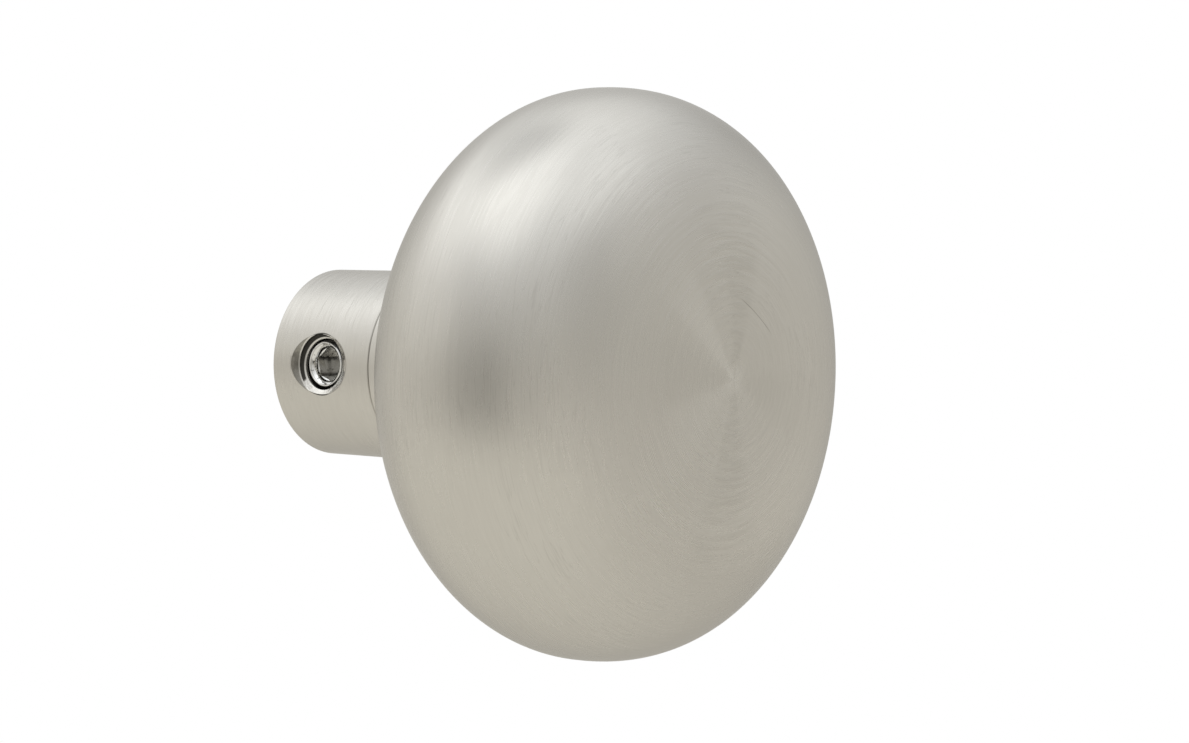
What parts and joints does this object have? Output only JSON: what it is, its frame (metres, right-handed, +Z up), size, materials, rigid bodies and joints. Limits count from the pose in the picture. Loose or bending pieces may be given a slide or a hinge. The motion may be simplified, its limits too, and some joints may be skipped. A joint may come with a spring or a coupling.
{
  "type": "door knob",
  "caption": "Round hollow door knob with a softly domed face on a short plain shank, tapped for a threaded spindle and locked by a countersunk set screw.",
  "frame": {"origin": "centre of the shank's rear face, at the mouth of the spindle bore", "axes": "-Y from the rear face through the head to the middle of the face, so +Y points into the door; +Z up; the set screw is on the -X side, along X"},
  "size_m": [0.0572, 0.0536, 0.0572],
  "materials": {
    "satin_nickel": "brass, brushed and satin nickel plated",
    "screw_nickel": "steel, bright nickel plated",
    "raw_brass": "bare turned brass",
    "zinc_steel": "zinc plated steel",
    "solder": "dull solder"
  },
  "bodies": {
    "knob": {"face_shell": "satin_nickel", "back_shell": "satin_nickel", "joining_ring": "raw_brass", "shank": "satin_nickel", "neck_solder": "solder", "backing_plate": "zinc_steel", "lock_washer": "zinc_steel", "hub_nut": "zinc_steel"},
    "set_screw": {"set_screw": "screw_nickel"}
  },
  "joints": [
    {"name": "set_screw_travel", "type": "slide", "parent": "knob", "child": "set_screw", "axis": [1, 0, 0], "range_m": [-0.00127, 0.00127]}
  ]
}
